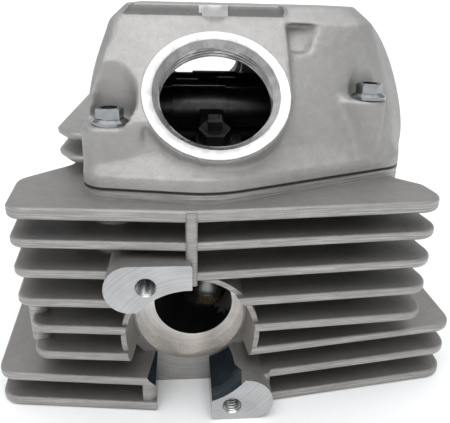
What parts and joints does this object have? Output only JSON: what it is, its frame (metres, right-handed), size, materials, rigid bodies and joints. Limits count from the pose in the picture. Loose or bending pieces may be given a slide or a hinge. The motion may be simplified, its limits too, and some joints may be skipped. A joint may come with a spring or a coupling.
{
  "type": "cylinder head",
  "caption": "Air-cooled single-cylinder head with cooling fins, screw-in tappet openings, diagonal exhaust stud lugs and a bolted rocker cover over an overhead camshaft.",
  "frame": {"origin": "the cylinder's axis on the gasket face", "axes": "+X towards the cam chain side, -Y towards the exhaust, +Y towards the intake, +Z away from the cylinder"},
  "size_m": [0.1778, 0.175, 0.1375],
  "materials": {
    "head_casting": "matt cast",
    "cover_casting": "fine blasted casting",
    "zinc_bolts": "zinc plated",
    "steel": "ground",
    "cam_iron": "ground lobes",
    "bearing_steel": "polished",
    "dark_steel": "black oxide",
    "seat_iron": "ground",
    "guide_bronze": "reamed",
    "seal_rubber": "matt",
    "valve_steel": "ground",
    "spring_steel": "satin",
    "rocker_steel": "forged satin"
  },
  "bodies": {
    "head": {"cylinder_head": "head_casting", "rocker_cover": "cover_casting", "cover_bolts": "zinc_bolts", "cover_dowels": "steel", "cam_bearing_outer_races": "bearing_steel", "cam_bearing_balls": "bearing_steel", "exhaust_rocker_shaft": "steel", "intake_rocker_shaft": "steel", "rocker_spacers": "dark_steel", "exhaust_valve_seat": "seat_iron", "exhaust_valve_guide": "guide_bronze", "exhaust_stem_seal": "seal_rubber", "exhaust_spring_seat": "steel", "exhaust_outer_spring": "spring_steel", "exhaust_inner_spring": "spring_steel", "intake_valve_seat": "seat_iron", "intake_valve_guide": "guide_bronze", "intake_stem_seal": "seal_rubber", "intake_spring_seat": "steel", "intake_outer_spring": "spring_steel", "intake_inner_spring": "spring_steel"},
    "camshaft": {"camshaft": "cam_iron", "cam_bearing_inner_races": "bearing_steel", "cam_sprocket": "dark_steel", "sprocket_bolts": "dark_steel"},
    "exhaust_rocker": {"exhaust_rocker_arm": "rocker_steel", "exhaust_adjuster_screw": "dark_steel", "exhaust_adjuster_nut": "dark_steel"},
    "exhaust_valve": {"exhaust_valve": "valve_steel", "exhaust_spring_retainer": "dark_steel", "exhaust_collets": "steel"},
    "intake_rocker": {"intake_rocker_arm": "rocker_steel", "intake_adjuster_screw": "dark_steel", "intake_adjuster_nut": "dark_steel"},
    "intake_valve": {"intake_valve": "valve_steel", "intake_spring_retainer": "dark_steel", "intake_collets": "steel"}
  },
  "joints": [
    {"name": "camshaft_spin", "type": "hinge", "parent": "head", "child": "camshaft", "pos_m": [0, 0, 0.0825], "axis": [1, 0, 0], "range_deg": [-55, 55]},
    {"name": "exhaust_rocker_tilt", "type": "hinge", "parent": "head", "child": "exhaust_rocker", "pos_m": [0, -0.0225, 0.099], "axis": [1, 0, 0], "range_deg": [0, 13.8]},
    {"name": "exhaust_valve_lift", "type": "slide", "parent": "head", "child": "exhaust_valve", "axis": [0, 0.3746, -0.9272], "range_m": [0, 0.0069], "stiffness_N_per_m": 80, "springref_m": -0.012, "deforming": ["exhaust_outer_spring", "exhaust_inner_spring"]},
    {"name": "intake_rocker_tilt", "type": "hinge", "parent": "head", "child": "intake_rocker", "pos_m": [0, 0.0225, 0.099], "axis": [-1, 0, 0], "range_deg": [0, 13.8]},
    {"name": "intake_valve_lift", "type": "slide", "parent": "head", "child": "intake_valve", "axis": [0, -0.3746, -0.9272], "range_m": [0, 0.0069], "stiffness_N_per_m": 80, "springref_m": -0.012, "deforming": ["intake_outer_spring", "intake_inner_spring"]}
  ],
  "couplings": [
    {"joint": "exhaust_valve_lift", "follows": "exhaust_rocker_tilt", "m_per_rad": 0.0283},
    {"joint": "intake_valve_lift", "follows": "intake_rocker_tilt", "m_per_rad": 0.0283}
  ]
}
